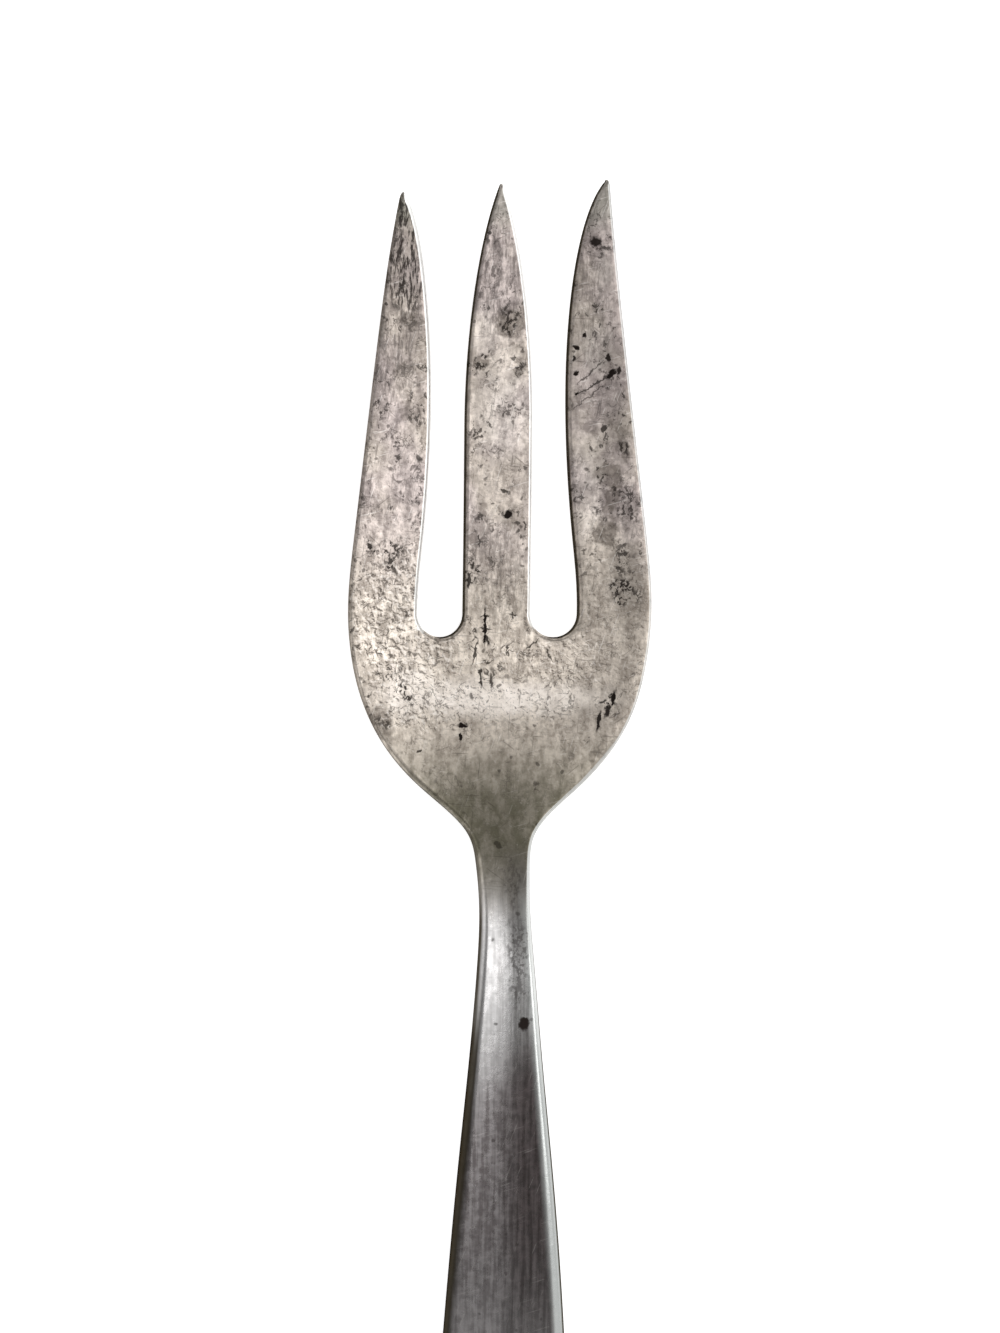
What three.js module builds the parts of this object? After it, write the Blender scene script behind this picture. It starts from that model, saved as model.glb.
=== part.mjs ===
// Cold meat fork: one blank of silver-plated nickel silver, stamped, pressed and polished in one piece.
// Millimetres. +Y runs from the handle to the tine points, +Z is the front face, and the fork rests on z = 0.
import * as THREE from "three";
import { ParametricGeometry } from "three/addons/geometries/ParametricGeometry.js";
import { mergeGeometries, mergeVertices } from "three/addons/utils/BufferGeometryUtils.js";

// Plan of the blank
const LENGTH = 223.5; // point of the longest tine to the end of the handle
const HEAD_LENGTH = 96.75; // that point to the narrowest place of the neck
const HEAD_WIDTH = 40.9; // across the palm at its widest
const POINT_SPREAD = 28.1; // between the outer edges of the side tines, at their points
const NECK_WIDTH = 6.75;
const HANDLE_WIDTH = 21; // at its widest, near the end
const HANDLE_END_LENGTH = 13; // the rounded end of the handle

// Tines and the slots between them
const SLOT_DEPTH = 60.85; // point of the longest tine to the bottom of a slot
const WIDEST_ABOVE_SLOTS = 4.1; // from the bottom of the slots up to the widest place of the palm
const MIDDLE_TINE_WIDTH = 9.2;
const MIDDLE_POINT_LENGTH = 32; // over which the middle tine narrows to its point
const MIDDLE_POINT_FULLNESS = 0.763; // the lower, the more the flanks of the point bulge
const SIDE_TINE_WIDTH = 9.62;
const SIDE_POINT_LENGTH = 49.3;
const SIDE_POINT_FULLNESS = 0.622;
const LEFT_POINT_WEAR = 2.25; // the left tine is worn shorter than the right one
const MIDDLE_POINT_WEAR = 0.6;
const LEFT_POINT_LEAN = 0.62; // use has bent the points of the side tines a little to the right
const RIGHT_POINT_LEAN = 0.2;
const LEAN_LENGTH = 22; // over which they bend
const NIB_WIDTH = 0.75; // each point ends in a small blunt nib
const NIB_LENGTH = 0.3; // how far the nib stands out beyond where the flanks would meet
const NIB_ROUNDING = 0.9; // length over which the nib rounds off

// Thickness of the metal
const TINE_POINT_THICKNESS = 1.3;
const PALM_THICKNESS = 2.3;
const NECK_THICKNESS = 3.6;
const HANDLE_THICKNESS = 2.3; // at the end of the handle
const HANDLE_CROWN = 0.3; // how far the front of the handle is domed

// Width over which the edges are rolled off
const TINE_EDGE_ROLL = 0.7;
const NECK_EDGE_ROLL = 0.85;
const HANDLE_EDGE_ROLL = 2;

// Heights of the middle of the metal over the table
const HANDLE_END_HEIGHT = 1.05;
const ARCH_HEIGHT = 9; // the top of the handle's arch
const NECK_HEIGHT = 8.2;
const HEEL_HEIGHT = 0.95; // the bottom of the palm, worn flat where it rests
const POINT_HEIGHT = 5.55;
const DISH = 4; // how far the edges of the palm stand above its middle

// Fineness of the mesh
const END_ROWS = 7;
const HANDLE_ROWS = 23;
const PALM_ROWS = 15;
const ARC_ROWS = 3; // of a tine, beside the rounded bottom of its slot
const TINE_ROWS = 24;
const ROW_CROWDING = 2.2; // above 1 the rows of a tine crowd towards its point
const SLOT_COLUMNS = 4;
const ROLL_STEPS = [0, 0.134, 0.5, 1]; // across a rolled edge, at even angles of the roll
const ROLL_LIMIT = 0.48; // of a tine's width, so that its two rolled edges never meet

const TIP_Y = LENGTH / 2;
const END_Y = -LENGTH / 2;
const NECK_Y = TIP_Y - HEAD_LENGTH;
const SLOT_Y = TIP_Y - SLOT_DEPTH;
const WIDEST_Y = SLOT_Y + WIDEST_ABOVE_SLOTS;
const ROUND_END_Y = END_Y + HANDLE_END_LENGTH;

const mix = THREE.MathUtils.lerp;
const alongHandle = (share) => mix(NECK_Y, END_Y, share);
const alongPalm = (share) => mix(NECK_Y, WIDEST_Y, share);
const alongTines = (share) => mix(WIDEST_Y, TIP_Y, share);
const quarterRound = (share) => Math.sqrt(1 - (1 - Math.min(share, 1)) ** 2);

// A natural cubic spline through points [place, value], as a function of the place
function smoothThrough(points) {
  const last = points.length - 1;
  const slope = (i) => (points[i + 1][1] - points[i][1]) / (points[i + 1][0] - points[i][0]);
  const bend = points.map(() => 0);
  const pivot = points.map(() => 0);
  for (let i = 1; i < last; i++) {
    const before = points[i][0] - points[i - 1][0];
    const after = points[i + 1][0] - points[i][0];
    const scale = 2 * (before + after) - before * pivot[i - 1];
    pivot[i] = after / scale;
    bend[i] = (6 * (slope(i) - slope(i - 1)) - before * bend[i - 1]) / scale;
  }
  for (let i = last - 1; i > 0; i--) bend[i] -= pivot[i] * bend[i + 1];
  return (place) => {
    let i = 0;
    while (i < last - 1 && place > points[i + 1][0]) i++;
    const step = points[i + 1][0] - points[i][0];
    const b = (place - points[i][0]) / step;
    const a = 1 - b;
    const curve = (a ** 3 - a) * bend[i] + (b ** 3 - b) * bend[i + 1];
    return a * points[i][1] + b * points[i + 1][1] + (curve * step * step) / 6;
  };
}

// The outer edge of the blank. Each point holds its share of the way and of the width gained on that way.
const NECK_TO_HANDLE = [[0.9, 1], [0.754, 0.945], [0.516, 0.75], [0.274, 0.42], [0.14, 0.183], [0.06, 0.061]];
const NECK_TO_PALM = [[0.15, 0.0142], [0.25, 0.0768], [0.4, 0.437], [0.6, 0.804], [0.8, 0.959], [1, 1]];
const PALM_TO_POINTS = [[0.16, 0.116], [1, 1]];
const outerEdge = smoothThrough([
  ...NECK_TO_HANDLE.map(([way, gain]) => [alongHandle(way), mix(NECK_WIDTH, HANDLE_WIDTH, gain) / 2]),
  [NECK_Y, NECK_WIDTH / 2],
  ...NECK_TO_PALM.map(([way, gain]) => [alongPalm(way), mix(NECK_WIDTH, HEAD_WIDTH, gain) / 2]),
  ...PALM_TO_POINTS.map(([way, gain]) => [alongTines(way), mix(HEAD_WIDTH, POINT_SPREAD, gain) / 2]),
]);

function halfWidth(y) {
  if (y >= ROUND_END_Y) return outerEdge(y);
  return outerEdge(ROUND_END_Y) * quarterRound((y - END_Y) / HANDLE_END_LENGTH);
}

const MIDDLE = { width: MIDDLE_TINE_WIDTH, taper: MIDDLE_POINT_LENGTH, fullness: MIDDLE_POINT_FULLNESS };
const SIDE = { width: SIDE_TINE_WIDTH, taper: SIDE_POINT_LENGTH, fullness: SIDE_POINT_FULLNESS };
const TINES = [
  { ...SIDE, side: -1, point: TIP_Y - LEFT_POINT_WEAR, lean: LEFT_POINT_LEAN },
  { ...MIDDLE, side: 0, point: TIP_Y - MIDDLE_POINT_WEAR, lean: 0 },
  { ...SIDE, side: 1, point: TIP_Y, lean: RIGHT_POINT_LEAN },
];

// The left and right flank of a tine at the level y, before the slots are rounded off
function flanks(tine, y) {
  const reach = Math.max(tine.point - y, 0);
  const share = THREE.MathUtils.clamp((reach - NIB_LENGTH) / tine.taper, 0, 1);
  const tapered = (1 - (1 - share) ** 2) ** tine.fullness;
  const rounded = quarterRound(reach / NIB_ROUNDING);
  const width = Math.hypot(tine.width * tapered, NIB_WIDTH * rounded * (1 - tapered));
  if (tine.side === 0) return [-width / 2, width / 2];
  const outer = halfWidth(y) - (NIB_WIDTH / 2) * (1 - rounded);
  const lean = tine.lean * (1 - Math.min(reach / LEAN_LENGTH, 1)) ** 3;
  return tine.side < 0 ? [lean - outer, lean - outer + width] : [lean + outer - width, lean + outer];
}

// A slot ends in a half circle that touches the flanks of both its tines.
function slotBetween(left, right) {
  const slot = { x: 0, y: SLOT_Y, radius: 0 };
  for (let turn = 0; turn < 12; turn++) {
    const from = flanks(left, slot.y)[1];
    const to = flanks(right, slot.y)[0];
    slot.radius = (to - from) / 2;
    slot.x = (to + from) / 2;
    slot.y = SLOT_Y + slot.radius;
  }
  return slot;
}
const SLOTS = [slotBetween(TINES[0], TINES[1]), slotBetween(TINES[1], TINES[2])];

// The tines part from the palm level with the eighth turns of the half circles.
const ROOT_Y = SLOT_Y + (1 - Math.SQRT1_2) * Math.min(...SLOTS.map((slot) => slot.radius));
const rootAngle = (slot) => Math.asin((slot.y - ROOT_Y) / slot.radius);
const chord = (slot, y) => Math.sqrt(slot.radius ** 2 - (slot.y - y) ** 2);

function slotBottom(slot, share) {
  const angle = mix(rootAngle(slot), Math.PI - rootAngle(slot), share);
  return [slot.x - slot.radius * Math.cos(angle), slot.y - slot.radius * Math.sin(angle)];
}

function tineEdges(index, y) {
  const [left, right] = flanks(TINES[index], y);
  const before = SLOTS[index - 1];
  const after = SLOTS[index];
  return [
    before && y < before.y ? before.x + chord(before, y) : left,
    after && y < after.y ? after.x - chord(after, y) : right,
  ];
}

// Thickness, width of the rolled edge, and pressed height along the fork
const thickness = smoothThrough([
  [END_Y, HANDLE_THICKNESS],
  [alongHandle(0.55), mix(HANDLE_THICKNESS, NECK_THICKNESS, 0.25)],
  [alongHandle(0.1), mix(HANDLE_THICKNESS, NECK_THICKNESS, 0.9)],
  [NECK_Y, NECK_THICKNESS],
  [alongPalm(0.4), mix(NECK_THICKNESS, PALM_THICKNESS, 0.6)],
  [alongPalm(0.8), PALM_THICKNESS],
  [alongTines(0.4), mix(PALM_THICKNESS, TINE_POINT_THICKNESS, 0.25)],
  [TIP_Y, TINE_POINT_THICKNESS],
]);
const edgeRoll = smoothThrough([
  [END_Y, HANDLE_EDGE_ROLL],
  [alongHandle(0.27), mix(NECK_EDGE_ROLL, HANDLE_EDGE_ROLL, 0.6)],
  [NECK_Y, NECK_EDGE_ROLL],
  [WIDEST_Y, TINE_EDGE_ROLL],
  [TIP_Y, TINE_EDGE_ROLL],
]);
const pressedHeight = smoothThrough([
  [END_Y, HANDLE_END_HEIGHT],
  [alongHandle(0.9), mix(HANDLE_END_HEIGHT, ARCH_HEIGHT, 0.02)],
  [alongHandle(0.78), mix(HANDLE_END_HEIGHT, ARCH_HEIGHT, 0.2)],
  [alongHandle(0.58), mix(HANDLE_END_HEIGHT, ARCH_HEIGHT, 0.56)],
  [alongHandle(0.38), mix(HANDLE_END_HEIGHT, ARCH_HEIGHT, 0.87)],
  [alongHandle(0.16), ARCH_HEIGHT],
  [NECK_Y, NECK_HEIGHT],
  [alongPalm(0.34), mix(HEEL_HEIGHT, NECK_HEIGHT, 0.49)],
  [alongPalm(0.58), mix(HEEL_HEIGHT, NECK_HEIGHT, 0.19)],
  [alongPalm(0.79), HEEL_HEIGHT],
  [alongTines(0.06), mix(HEEL_HEIGHT, POINT_HEIGHT, 0.12)],
  [alongTines(0.49), mix(HEEL_HEIGHT, POINT_HEIGHT, 0.46)],
  [TIP_Y, POINT_HEIGHT],
]);

// 0 along the handle and 1 along the head, where the metal is dished across
const headShare = (y) => THREE.MathUtils.smoothstep(y, alongPalm(0.12), alongPalm(0.67));

// The outline as chains of points, from which the nearest edge to a place is found
const chain = (count, spot) => Array.from({ length: count + 1 }, (_, i) => spot(i / count));
const OUTLINE = [];
for (const side of [-1, 1]) {
  const edgeAt = (y) => [side * halfWidth(y), y];
  OUTLINE.push(chain(50, (share) => edgeAt(ROUND_END_Y - HANDLE_END_LENGTH * Math.cos((share * Math.PI) / 2))));
  OUTLINE.push(chain(400, (share) => edgeAt(mix(ROUND_END_Y, ROOT_Y, share))));
}
for (const slot of SLOTS) OUTLINE.push(chain(32, (share) => slotBottom(slot, share)));
TINES.forEach((tine, index) => {
  for (const edge of [0, 1]) {
    const levelAt = (share) => mix(tine.point, ROOT_Y, share ** ROW_CROWDING);
    OUTLINE.push(chain(300, (share) => [tineEdges(index, levelAt(share))[edge], levelAt(share)]));
  }
});

function edgeDistance(x, y) {
  let nearest = Infinity;
  for (const line of OUTLINE) {
    for (let i = 1; i < line.length; i++) {
      const [fromX, fromY] = line[i - 1];
      const runX = line[i][0] - fromX;
      const runY = line[i][1] - fromY;
      const along = ((x - fromX) * runX + (y - fromY) * runY) / (runX * runX + runY * runY);
      const foot = THREE.MathUtils.clamp(along, 0, 1);
      nearest = Math.min(nearest, Math.hypot(x - fromX - foot * runX, y - fromY - foot * runY));
    }
  }
  return nearest;
}

// The height of the front (face 1) or the back (face -1) over a place on the plan
function surfaceHeight(place, face) {
  const { x, y } = place;
  const edgeLine = pressedHeight(y) + DISH * headShare(y) * (x / (HEAD_WIDTH / 2)) ** 2;
  if (place.onEdge) return edgeLine;
  const rolled = quarterRound(edgeDistance(x, y) / place.roll);
  const half = (thickness(y) / 2) * quarterRound((place.point - y) / NIB_ROUNDING);
  if (face < 0) return Math.max(edgeLine - half * rolled, 0);
  const crown = HANDLE_CROWN * (1 - headShare(y)) * (1 - (x / halfWidth(y)) ** 2);
  return edgeLine + (half + crown) * rolled;
}

// Columns across a tine, as shares of its width, crowd into its rolled edges. Two lie on the flat between them.
function tineColumns(width, roll) {
  const rolled = ROLL_STEPS.map((step) => (step * roll) / width);
  const flat = [1 / 3, 2 / 3].map((share) => mix(roll / width, 1 - roll / width, share));
  return [...rolled, ...flat, ...rolled.map((share) => 1 - share).reverse()];
}
const tineRoll = (width, y) => Math.min(edgeRoll(y), ROLL_LIMIT * width);
const TINE_COLUMNS = 2 * ROLL_STEPS.length + 1;

// The top edge of the palm: across the root of each tine and round the bottom of each slot
const palmTop = [];
TINES.forEach((tine, index) => {
  const [left, right] = tineEdges(index, ROOT_Y);
  tineColumns(right - left, tineRoll(right - left, ROOT_Y)).forEach((share, column) => {
    palmTop.push({ x: mix(left, right, share), y: ROOT_Y, onEdge: column % TINE_COLUMNS === 0 });
  });
  if (index === SLOTS.length) return;
  for (let column = 1; column < SLOT_COLUMNS; column++) {
    const [x, y] = slotBottom(SLOTS[index], column / SLOT_COLUMNS);
    palmTop.push({ x, y, onEdge: true });
  }
});

// Rows from the end of the handle to the fan, where the palm begins to follow the bottoms of the slots
const fanBase = alongPalm(0.72);
const levels = [
  ...chain(END_ROWS, (share) => ROUND_END_Y - HANDLE_END_LENGTH * Math.cos((share * Math.PI) / 2)),
  ...chain(HANDLE_ROWS, (share) => mix(ROUND_END_Y, NECK_Y, share)).slice(1),
  ...chain(PALM_ROWS, (share) => mix(NECK_Y, fanBase, share)).slice(1),
];
const edgeShares = ROLL_STEPS.map((step) => 1 - (step * TINE_EDGE_ROLL) / (ROOT_Y - fanBase));
const fanShares = [0.25, 0.5, 0.72, ...edgeShares.reverse()];
const BODY_ROWS = levels.length + fanShares.length - 1;

function bodyPlace(column, row) {
  const top = palmTop[column];
  const last = palmTop.length - 1;
  const y = row < levels.length ? levels[row] : mix(fanBase, top.y, fanShares[row - levels.length]);
  const inHandle = -Math.cos((Math.PI * column) / last);
  const inPalm = top.x / halfWidth(top.y);
  const onEdge = column % last === 0 || row === 0 || (row === BODY_ROWS && top.onEdge);
  return { x: mix(inHandle, inPalm, headShare(y)) * halfWidth(y), y, roll: edgeRoll(y), point: TIP_Y, onEdge };
}

// Rows of a tine: up the rest of the half circle, then on to the point
function tineLevel(tine, row) {
  const slot = SLOTS[0];
  if (row < ARC_ROWS) return slot.y - slot.radius * Math.sin(rootAngle(slot) * (1 - row / ARC_ROWS));
  return mix(tine.point, slot.y, (1 - (row - ARC_ROWS) / TINE_ROWS) ** ROW_CROWDING);
}

function tinePlace(index, column, row) {
  const tine = TINES[index];
  const y = tineLevel(tine, row);
  const [left, right] = tineEdges(index, y);
  const roll = tineRoll(right - left, y);
  const atPoint = row === ARC_ROWS + TINE_ROWS;
  const x = atPoint ? left : mix(left, right, tineColumns(right - left, roll)[column]);
  return { x, y, roll, point: tine.point, onEdge: atPoint || column % TINE_COLUMNS === 0 };
}

// A patch of the front or the back, from the place of each column and row
function patch(columns, rows, placeOf, face) {
  const spot = (u, v, target) => {
    const column = Math.round((face > 0 ? u : 1 - u) * columns);
    const place = placeOf(column, Math.round(v * rows));
    target.set(place.x, place.y, surfaceHeight(place, face));
  };
  return new ParametricGeometry(spot, columns, rows);
}

// Joins the patches along their shared edges, without the faces that shrink to nothing at the ends
function weld(patches) {
  const joined = mergeGeometries(patches);
  joined.deleteAttribute("normal");
  joined.deleteAttribute("uv");
  const welded = mergeVertices(joined, 1e-3);
  const corners = welded.index.array;
  const kept = [];
  for (let i = 0; i < corners.length; i += 3) {
    const [a, b, c] = corners.slice(i, i + 3);
    if (a !== b && b !== c && c !== a) kept.push(a, b, c);
  }
  welded.setIndex(kept);
  welded.computeVertexNormals();
  return welded;
}

const patches = [];
for (const face of [1, -1]) {
  patches.push(patch(palmTop.length - 1, BODY_ROWS, bodyPlace, face));
  TINES.forEach((tine, index) => {
    const placeOf = (column, row) => tinePlace(index, column, row);
    patches.push(patch(TINE_COLUMNS, ARC_ROWS + TINE_ROWS, placeOf, face));
  });
}

const silverPlate = new THREE.MeshStandardMaterial({ color: 0xc4bab0, metalness: 1, roughness: 0.38 });
const fork = new THREE.Mesh(weld(patches), silverPlate);
fork.name = "fork_body";

const part = new THREE.Group();
part.name = "cold_meat_fork";
part.add(fork);
export default part;
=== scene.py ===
"""Dresses the cold meat fork: a fine mesh of the pressed metal and its worn silver plate."""

import math

import bmesh
import bpy
import numpy as np
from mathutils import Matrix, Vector


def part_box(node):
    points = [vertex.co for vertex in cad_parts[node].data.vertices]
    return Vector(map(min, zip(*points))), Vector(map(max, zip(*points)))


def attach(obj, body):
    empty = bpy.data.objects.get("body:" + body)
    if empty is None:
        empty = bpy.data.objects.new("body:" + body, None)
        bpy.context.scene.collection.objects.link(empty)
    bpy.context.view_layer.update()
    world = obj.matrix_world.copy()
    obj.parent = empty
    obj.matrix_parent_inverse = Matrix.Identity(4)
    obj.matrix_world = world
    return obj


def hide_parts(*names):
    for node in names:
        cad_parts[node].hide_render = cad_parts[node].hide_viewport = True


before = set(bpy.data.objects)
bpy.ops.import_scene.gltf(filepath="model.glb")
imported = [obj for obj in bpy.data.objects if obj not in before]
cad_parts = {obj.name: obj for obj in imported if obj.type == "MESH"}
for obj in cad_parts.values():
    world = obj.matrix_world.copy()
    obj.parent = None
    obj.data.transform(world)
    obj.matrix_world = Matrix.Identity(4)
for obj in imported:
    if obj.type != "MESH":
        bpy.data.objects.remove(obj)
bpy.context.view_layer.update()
MM = 0.001

# Plan of the blank, in millimetres, as in the solid
fork_low, fork_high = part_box("fork_body")
LENGTH = (fork_high.y - fork_low.y) / MM
HEAD_LENGTH = 96.75
HEAD_WIDTH = 40.9
POINT_SPREAD = 28.1
NECK_WIDTH = 6.75
HANDLE_WIDTH = 21
HANDLE_END_LENGTH = 13
SLOT_DEPTH = 60.85
WIDEST_ABOVE_SLOTS = 4.1
MIDDLE_TINE_WIDTH = 9.2
MIDDLE_POINT_LENGTH = 32
MIDDLE_POINT_FULLNESS = 0.763
SIDE_TINE_WIDTH = 9.62
SIDE_POINT_LENGTH = 49.3
SIDE_POINT_FULLNESS = 0.622
LEFT_POINT_WEAR = 2.25
MIDDLE_POINT_WEAR = 0.6
POINT_LEANS = [0.62, 0, 0.2]
LEAN_LENGTH = 22
NIB_WIDTH = 0.75
NIB_LENGTH = 0.3
NIB_ROUNDING = 0.9
TINE_POINT_THICKNESS = 1.3
PALM_THICKNESS = 2.3
NECK_THICKNESS = 3.6
HANDLE_THICKNESS = 2.3
HANDLE_CROWN = 0.3
TINE_EDGE_ROLL = 0.7
NECK_EDGE_ROLL = 0.85
HANDLE_EDGE_ROLL = 2
HANDLE_END_HEIGHT = 1.05
ARCH_HEIGHT = 9
NECK_HEIGHT = 8.2
HEEL_HEIGHT = 0.95
POINT_HEIGHT = 5.55
DISH = 4

# Fineness of the mesh
END_ROWS = 24
HANDLE_ROWS = 130
PALM_ROWS = 60
FAN_ROWS = 10
ARC_ROWS = 10
TINE_ROWS = 110
ROW_CROWDING = 2.0
SLOT_COLUMNS = 12
ROLL_STEPS = 1 - np.cos(np.linspace(0, math.pi / 2, 7))
FLAT_COLUMNS = 5
ROLL_LIMIT = 0.48
OUTLINE_STEPS = 600
OUTLINE_ARC_STEPS = 60
SLOT_FITTING_TURNS = 12
SMALLEST_WIDTH = 1e-6

# Limits for welding the mesh, in metres
WELD_DISTANCE = 2e-7
SHORTEST_EDGE = 1e-8

TIP_Y = LENGTH / 2
END_Y = -LENGTH / 2
NECK_Y = TIP_Y - HEAD_LENGTH
SLOT_Y = TIP_Y - SLOT_DEPTH
WIDEST_Y = SLOT_Y + WIDEST_ABOVE_SLOTS
ROUND_END_Y = END_Y + HANDLE_END_LENGTH

# Shares of the way from the neck to the widest place of the palm
DISH_BEGINS = 0.12
DISH_IS_FULL = 0.67
FAN_BEGINS = 0.72


def mix(low, high, share):
    return low + (high - low) * share


def along_handle(share):
    return mix(NECK_Y, END_Y, share)


def along_palm(share):
    return mix(NECK_Y, WIDEST_Y, share)


def along_tines(share):
    return mix(WIDEST_Y, TIP_Y, share)


def quarter_round(share):
    return np.sqrt(1 - (1 - np.clip(share, 0, 1)) ** 2)


def smooth_through(points):
    """A natural cubic spline through points (place, value), as a function of an array of places."""
    places, values = np.array(sorted(points), float).T
    gap = np.diff(places)
    slope = np.diff(values) / gap
    system = np.eye(len(places))
    wanted = np.zeros(len(places))
    for i in range(1, len(places) - 1):
        system[i, i - 1 : i + 2] = gap[i - 1], 2 * (gap[i - 1] + gap[i]), gap[i]
        wanted[i] = 6 * (slope[i] - slope[i - 1])
    bend = np.linalg.solve(system, wanted)

    def value(place):
        i = np.clip(np.searchsorted(places, place) - 1, 0, len(gap) - 1)
        b = (place - places[i]) / gap[i]
        a = 1 - b
        curve = (a**3 - a) * bend[i] + (b**3 - b) * bend[i + 1]
        return a * values[i] + b * values[i + 1] + curve * gap[i] ** 2 / 6

    return value


# The outer edge of the blank
NECK_TO_HANDLE = [(0.9, 1), (0.754, 0.945), (0.516, 0.75), (0.274, 0.42), (0.14, 0.183), (0.06, 0.061)]
NECK_TO_PALM = [(0.15, 0.0142), (0.25, 0.0768), (0.4, 0.437), (0.6, 0.804), (0.8, 0.959), (1, 1)]
PALM_TO_POINTS = [(0.16, 0.116), (1, 1)]
outer_edge = smooth_through(
    [(along_handle(way), mix(NECK_WIDTH, HANDLE_WIDTH, gain) / 2) for way, gain in NECK_TO_HANDLE]
    + [(NECK_Y, NECK_WIDTH / 2)]
    + [(along_palm(way), mix(NECK_WIDTH, HEAD_WIDTH, gain) / 2) for way, gain in NECK_TO_PALM]
    + [(along_tines(way), mix(HEAD_WIDTH, POINT_SPREAD, gain) / 2) for way, gain in PALM_TO_POINTS]
)


def half_width(y):
    round_end = outer_edge(ROUND_END_Y) * quarter_round((y - END_Y) / HANDLE_END_LENGTH)
    return np.where(y >= ROUND_END_Y, outer_edge(y), round_end)


# The tines and the slots between them
TINE_SIDES = [-1, 0, 1]
TINE_POINTS = [TIP_Y - LEFT_POINT_WEAR, TIP_Y - MIDDLE_POINT_WEAR, TIP_Y]
SIDE = (SIDE_TINE_WIDTH, SIDE_POINT_LENGTH, SIDE_POINT_FULLNESS)
MIDDLE = (MIDDLE_TINE_WIDTH, MIDDLE_POINT_LENGTH, MIDDLE_POINT_FULLNESS)
TINE_SHAPES = [SIDE, MIDDLE, SIDE]


def flanks(tine, y):
    """The left and right flank of a tine at the level y, before the slots are rounded off."""
    full_width, taper, fullness = TINE_SHAPES[tine]
    reach = np.maximum(TINE_POINTS[tine] - y, 0)
    share = np.clip((reach - NIB_LENGTH) / taper, 0, 1)
    tapered = (1 - (1 - share) ** 2) ** fullness
    rounded = quarter_round(reach / NIB_ROUNDING)
    width = np.hypot(full_width * tapered, NIB_WIDTH * rounded * (1 - tapered))
    if TINE_SIDES[tine] == 0:
        return -width / 2, width / 2
    outer = half_width(y) - NIB_WIDTH / 2 * (1 - rounded)
    lean = POINT_LEANS[tine] * (1 - np.minimum(reach / LEAN_LENGTH, 1)) ** 3
    if TINE_SIDES[tine] < 0:
        return lean - outer, lean - outer + width
    return lean + outer - width, lean + outer


def slot_between(left, right):
    """Centre and radius of the half circle at the bottom of a slot."""
    y = SLOT_Y
    for turn in range(SLOT_FITTING_TURNS):
        start = flanks(left, y)[1]
        stop = flanks(right, y)[0]
        radius = (stop - start) / 2
        y = SLOT_Y + radius
    return float(stop + start) / 2, float(y), float(radius)


SLOTS = [slot_between(0, 1), slot_between(1, 2)]
ROOT_Y = SLOT_Y + (1 - math.sqrt(0.5)) * min(radius for x, y, radius in SLOTS)


def root_angle(slot):
    return math.asin((slot[1] - ROOT_Y) / slot[2])


def slot_bottom(slot, share):
    angle = mix(root_angle(slot), math.pi - root_angle(slot), share)
    return slot[0] - slot[2] * np.cos(angle), slot[1] - slot[2] * np.sin(angle)


def tine_edges(tine, y):
    left, right = flanks(tine, y)
    if tine > 0:
        x, centre, radius = SLOTS[tine - 1]
        chord = np.sqrt(np.maximum(radius**2 - (centre - y) ** 2, 0))
        left = np.where(y < centre, x + chord, left)
    if tine < 2:
        x, centre, radius = SLOTS[tine]
        chord = np.sqrt(np.maximum(radius**2 - (centre - y) ** 2, 0))
        right = np.where(y < centre, x - chord, right)
    return left, right


# Thickness, width of the rolled edge, and pressed height along the fork
thickness = smooth_through([
    (END_Y, HANDLE_THICKNESS),
    (along_handle(0.55), mix(HANDLE_THICKNESS, NECK_THICKNESS, 0.25)),
    (along_handle(0.1), mix(HANDLE_THICKNESS, NECK_THICKNESS, 0.9)),
    (NECK_Y, NECK_THICKNESS),
    (along_palm(0.4), mix(NECK_THICKNESS, PALM_THICKNESS, 0.6)),
    (along_palm(0.8), PALM_THICKNESS),
    (along_tines(0.4), mix(PALM_THICKNESS, TINE_POINT_THICKNESS, 0.25)),
    (TIP_Y, TINE_POINT_THICKNESS),
])
edge_roll = smooth_through([
    (END_Y, HANDLE_EDGE_ROLL),
    (along_handle(0.27), mix(NECK_EDGE_ROLL, HANDLE_EDGE_ROLL, 0.6)),
    (NECK_Y, NECK_EDGE_ROLL),
    (WIDEST_Y, TINE_EDGE_ROLL),
    (TIP_Y, TINE_EDGE_ROLL),
])
pressed_height = smooth_through([
    (END_Y, HANDLE_END_HEIGHT),
    (along_handle(0.9), mix(HANDLE_END_HEIGHT, ARCH_HEIGHT, 0.02)),
    (along_handle(0.78), mix(HANDLE_END_HEIGHT, ARCH_HEIGHT, 0.2)),
    (along_handle(0.58), mix(HANDLE_END_HEIGHT, ARCH_HEIGHT, 0.56)),
    (along_handle(0.38), mix(HANDLE_END_HEIGHT, ARCH_HEIGHT, 0.87)),
    (along_handle(0.16), ARCH_HEIGHT),
    (NECK_Y, NECK_HEIGHT),
    (along_palm(0.34), mix(HEEL_HEIGHT, NECK_HEIGHT, 0.49)),
    (along_palm(0.58), mix(HEEL_HEIGHT, NECK_HEIGHT, 0.19)),
    (along_palm(0.79), HEEL_HEIGHT),
    (along_tines(0.06), mix(HEEL_HEIGHT, POINT_HEIGHT, 0.12)),
    (along_tines(0.49), mix(HEEL_HEIGHT, POINT_HEIGHT, 0.46)),
    (TIP_Y, POINT_HEIGHT),
])


def head_share(y):
    """0 along the handle and 1 along the head, where the metal is dished across."""
    start = along_palm(DISH_BEGINS)
    share = np.clip((y - start) / (along_palm(DISH_IS_FULL) - start), 0, 1)
    return share**2 * (3 - 2 * share)


# The outline as short straight runs, from which the nearest edge is found
def runs(x, y):
    points = np.column_stack([x, y])
    return np.hstack([points[:-1], points[1:]])


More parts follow.
